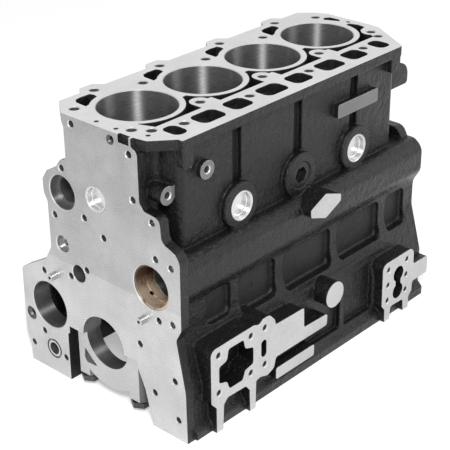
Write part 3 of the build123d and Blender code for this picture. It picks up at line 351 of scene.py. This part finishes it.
# Round walls of the casting: (axis, centres on the two other axes, radius, from, to, finish)
ROUND_WALLS = [
    ("z", [(x, 0.0) for x in BORE_XS], CYLINDER_R, 0.078, DECK_Z, "honed"),
    ("x", [CRANK], CRANK_R, 0.0, REAR_X, "bored"),
    ("x", [CAM], CAM_SEAT_R, 0.0, 0.033, "bored"),
    ("x", [CAM], CAM_R, 0.0, REAR_X, "bored"),
    ("x", [IDLER], IDLER_R, 0.0, 0.0272, "bored"),
    ("x", [PUMP], PUMP_R, 0.0, 0.013, "bored"),
    ("x", [PUMP], PUMP_THROAT_R, 0.0, 0.03, "drilled"),
    ("x", [SMOOTH_BORE], SMOOTH_BORE_R, 0.0, 0.03, "drilled"),
    ("x", [RING_SEAT], RING_SEAT_R, 0.0, 0.0025, "drilled"),
    ("x", [RING_SEAT], RING_BORE_R, 0.0, 0.045, "drilled"),
    ("x", [STEPPED_HOLE], STEP_R, 0.0, 0.006, "drilled"),
    ("x", [STEPPED_HOLE], STEP_BORE_R, 0.0, 0.036, "drilled"),
    ("x", [GALLERY], GALLERY_SEAT_R, 0.0, REAR_X, "drilled"),
    ("x", [FRONT_PLUG], FRONT_PLUG_R, 0.0, REAR_X, "drilled"),
    ("x", [
        (0.0343, 0.2848), (0.0573, 0.222), (-0.0608, 0.274), (-0.0645, 0.2188), (-0.094, 0.1995),
        (0.0215, 0.1675), (0.0758, 0.1543), (-0.011, 0.1515), (-0.0975, 0.154), (-0.122, 0.1508),
        (0.0538, 0.0765), (0.0233, 0.0953), (0.1058, 0.0655), (-0.0993, 0.0733), (-0.122, 0.0765),
        (-0.0655, 0.0275), (-0.1228, -0.001), (-0.088, -0.0325), (-0.127, -0.0548), (0.115, -0.0275),
        (0.1388, -0.0548), (0.0755, -0.0525), COUNTERBORED_HOLE,
    ], SCREW_R, 0.0, 0.023, "drilled"),
    ("x", [COUNTERBORED_HOLE], COUNTERBORE_R, 0.0, 0.004, "drilled"),
    ("x", [(y, z) for y in (-0.09, 0.09) for z in (-0.052, 0.026)], SCREW_R, 0.461, REAR_X, "drilled"),
    ("x", [(-0.05, 0.14), (0.05, 0.14)], SCREW_R, 0.461, REAR_X, "drilled"),
    ("z", [(x, s * 0.048) for x in WEB_XS for s in (-1, 1)], HEAD_BOLT_R, 0.22, DECK_Z, "drilled"),
    ("z", [(x, 0.075) for x in BORE_XS], HEAD_BOLT_R, 0.22, DECK_Z, "drilled"),
    ("z", [(x - 0.003, -0.079) for x in BORE_XS], HEAD_BOLT_R, 0.22, DECK_Z, "drilled"),
    ("z", [(0.0327, -0.066), (REAR_X - 0.025, -0.0653)], HEAD_BOLT_R, 0.27, DECK_Z, "drilled"),
    ("z", [(0.0093, -0.0007), (0.0093, -0.033), (0.0193, -0.0743), (REAR_X - 0.0047, 0.0)], DECK_HOLE_R,
     0.27, DECK_Z, "drilled"),
    ("y", [(WEB_XS[i], 0.18) for i in (1, 3)], PLUG_R, -0.12, -0.09, "drilled"),
    ("y", [(0.072, 0.247), (0.0246, 0.226)], SCREW_R, -0.12, -0.075, "drilled"),
    ("y", [(x, z) for x in (0.045, 0.103, 0.129) for z in (-0.0265, 0.0265)], PAD_SCREW_R, -0.154, -0.132,
     "drilled"),
    ("y", [(REAR_X + x, z) for x in (-0.0955, -0.053) for z in (-0.002, -0.026, -0.05)], PAD_SCREW_R,
     -0.154, -0.132, "drilled"),
    ("y", [(x, 0.185) for x in BORE_XS], PLUG_R, 0.055, 0.0745, "drilled"),
    ("z", [(x, s * 0.122) for x in (0.015, *BORE_XS, *WEB_XS[1:-1], REAR_X - 0.015) for s in (-1, 1)],
     SCREW_R, -0.0835, -0.059, "drilled"),
]

# Flat machined steps in the holes of the front face: (centre as y and z, radius, depth)
FLAT_SEATS = [
    (STEPPED_HOLE, STEP_R, 0.006), (RING_SEAT, RING_SEAT_R, 0.0025), (PUMP, PUMP_R, 0.012),
    (COUNTERBORED_HOLE, COUNTERBORE_R, 0.003), (SMOOTH_BORE, SMOOTH_BORE_R, 0.026),
]

# Boxes of the hollow insides of the casting: lowest and highest corner
HOLLOWS = [
    ((0.0305, -0.1125, -0.0825), (0.4555, 0.1105, 0.0945)),
    ((0.0005, -0.0865, -0.0825), (0.4835, 0.0885, -0.0003)),
    ((0.0105, -0.0635, 0.1495), (0.4785, 0.0665, 0.2945)),
    ((0.039, -0.1003, 0.111), (0.444, -0.0715, 0.2945)),
]

# Finishes of the nodes that have one each
WHOLE = {
    "main_cap_bolts": "bolt", "main_cap_ring_dowels": "bright", "cam_bush": "bush",
    "front_core_plug": "cup", "rear_core_plug": "cup", "side_core_plug_front": "cup",
    "side_core_plug_rear": "cup", "jacket_plug_1": "cup", "jacket_plug_2": "cup", "jacket_plug_3": "cup",
    "jacket_plug_4": "cup", "side_socket_plug": "plug_paint", "gallery_plug_front": "bright",
    "gallery_plug_rear": "bright", "front_dowel_pins": "bright", "rear_dowel_pins": "bright",
    "cam_rear_plug": "cup",
}


def flat_finish(centre, normal):
    """Name of the finish of a machined flat face of the casting, or None for any other face."""
    if normal.z > SQUARE and centre.z > DECK_Z - NEAR:
        return "deck"
    if normal.x < -SQUARE and centre.x < NEAR:
        return "front"
    if normal.x > SQUARE and abs(centre.x - REAR_X) < NEAR:
        return "rear"
    if normal.z < -SQUARE and (centre.z < SUMP_Z + NEAR or abs(centre.z) < NEAR):
        return "rail"
    if normal.x < -SQUARE:
        for (y, z), radius, depth in FLAT_SEATS:
            if abs(centre.x - depth) < NEAR and hypot(centre.y - y, centre.z - z) < radius:
                return "drilled"
    if normal.y < -SQUARE:
        if min(abs(centre.y - PAD_Y), abs(centre.y - HEX_PAD_Y)) < NEAR:
            return "side"
        if abs(centre.y - CORNER_BOSS_Y) < NEAR and centre.x < CORNER_BOSS_END_X:
            return "strip"
        on_boss = abs(centre.y - BOSS_Y) < NEAR and BOSS_STRIP_Z[0] < centre.z < BOSS_STRIP_Z[1]
        if on_boss and any(low < centre.x < high for low, high in BOSS_STRIP_XS):
            return "strip"
    return None


def round_finish(centre, normal):
    """Name of the finish of a round wall of the casting or its chamfer, or None for any other face."""
    for axis, centres, radius, start, end, finish in ROUND_WALLS:
        along = getattr(centre, axis)
        if not start - NEAR < along < end + NEAR:
            continue
        u, v = {"x": (centre.y, centre.z), "y": (centre.x, centre.z), "z": (centre.x, centre.y)}[axis]
        for a, b in centres:
            if abs(hypot(u - a, v - b) - radius) < CHAMFER_REACH:
                tilted = CHAMFER_TILT[0] < abs(getattr(normal, axis)) < CHAMFER_TILT[1]
                return "chamfer" if tilted else finish
    return None


def casting_finish(centre, normal):
    """Name of the finish of one face of the casting, from its place and the way it faces."""
    machined = flat_finish(centre, normal) or round_finish(centre, normal)
    if machined:
        return machined
    for low, high in HOLLOWS:
        if all(a < c < b for a, c, b in zip(low, centre, high)):
            return "cavity"
    return "paint"


def cap_finish(centre, normal):
    """Name of the finish of one face of a main bearing cap: only the floor of its pocket is cast in front."""
    if normal.x < -SQUARE:
        return "cap" if min(abs(centre.x - x) for x in CAP_FRONT_XS) < NEAR else "cap_cast"
    if abs(centre.z) < NEAR or normal.x > SQUARE:
        return "cap"
    if abs(hypot(centre.y, centre.z) - CRANK_R) < CAP_ROUND_REACH:
        return "bored"
    return "cap_cast"


def dress(node, choose):
    """Give each face of a CAD node the finish that choose names from its centre and normal."""
    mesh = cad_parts[node].data
    slots = {}
    chosen = [choose(face.center, face.normal) for face in mesh.polygons]
    mesh.materials.clear()
    for name in chosen:
        if name not in slots:
            slots[name] = len(slots)
            mesh.materials.append(FINISHES[name])
    for face, name in zip(mesh.polygons, chosen):
        face.material_index = slots[name]


def seen_rays(tree):
    """1 for camera, glossy and transmission rays, and 0 for the rays that only carry light."""
    rays = tree.nodes.new("ShaderNodeLightPath").outputs
    seen = rays["Is Camera Ray"]
    for kind in ("Is Glossy Ray", "Is Transmission Ray"):
        either = tree.nodes.new("ShaderNodeMath")
        either.operation = "MAXIMUM"
        tree.links.new(seen, either.inputs[0])
        tree.links.new(rays[kind], either.inputs[1])
        seen = either.outputs[0]
    return seen


def lamp(name, place, target, size, watts):
    """Soft square area light at a place, turned to a target."""
    data = bpy.data.lights.new(name, "AREA")
    data.shape = "SQUARE"
    data.size = size
    data.energy = watts
    light = bpy.data.objects.new(name, data)
    bpy.context.scene.collection.objects.link(light)
    light.location = place
    light.rotation_euler = (Vector(target) - Vector(place)).to_track_quat("-Z", "Y").to_euler()


dress("cylinder_block", casting_finish)
for number in range(1, len(WEB_XS) + 1):
    dress(f"main_cap_{number}", cap_finish)
for node, finish in WHOLE.items():
    dress(node, lambda centre, normal, finish=finish: finish)

# Floor
bpy.ops.mesh.primitive_plane_add(size=FLOOR_SIZE, location=(MIDDLE[0], MIDDLE[1], cad_box[0].z))
floor = bpy.context.object
floor.name = "floor"
pale = Finish("pale_floor")
glow = pale.math("MULTIPLY", seen_rays(pale.tree), FLOOR_WHITE)
pale.set(base_color=grey(FLOOR_TONE), roughness=FLOOR_ROUGHNESS, emission_color=WHITE, emission_strength=glow)
floor.data.materials.append(pale.material)

# World: white where it is seen or reflected, softer where it lights the block
world = bpy.data.worlds.new("studio")
bpy.context.scene.world = world
world.use_nodes = True
tree = world.node_tree
background = tree.nodes["Background"]
background.inputs["Color"].default_value = WHITE
strength = tree.nodes.new("ShaderNodeMapRange")
strength.inputs["To Min"].default_value = AMBIENT
strength.inputs["To Max"].default_value = 1.0
tree.links.new(seen_rays(tree), strength.inputs["Value"])
tree.links.new(strength.outputs["Result"], background.inputs["Strength"])

lamp("key_lamp", (-0.85, -0.98, 1.35), MIDDLE, size=0.4, watts=25.0)
lamp("side_lamp", (1.5, -1.5, 1.2), MIDDLE, size=1.1, watts=9.0)

# Camera
camera_data = bpy.data.cameras.new("camera")
camera_data.sensor_width = SENSOR_MM
camera_data.lens = FOCAL_PIXELS * SENSOR_MM / IMAGE_PIXELS
camera = bpy.data.objects.new("camera", camera_data)
bpy.context.scene.collection.objects.link(camera)
aim = Vector(LINE_OF_SIGHT).to_track_quat("-Z", "Y").to_matrix().to_4x4()
camera.matrix_world = Matrix.Translation(CAMERA_PLACE) @ aim @ Matrix.Rotation(radians(CAMERA_ROLL), 4, "Z")
bpy.context.scene.camera = camera

bpy.context.scene.view_settings.view_transform = "Standard"
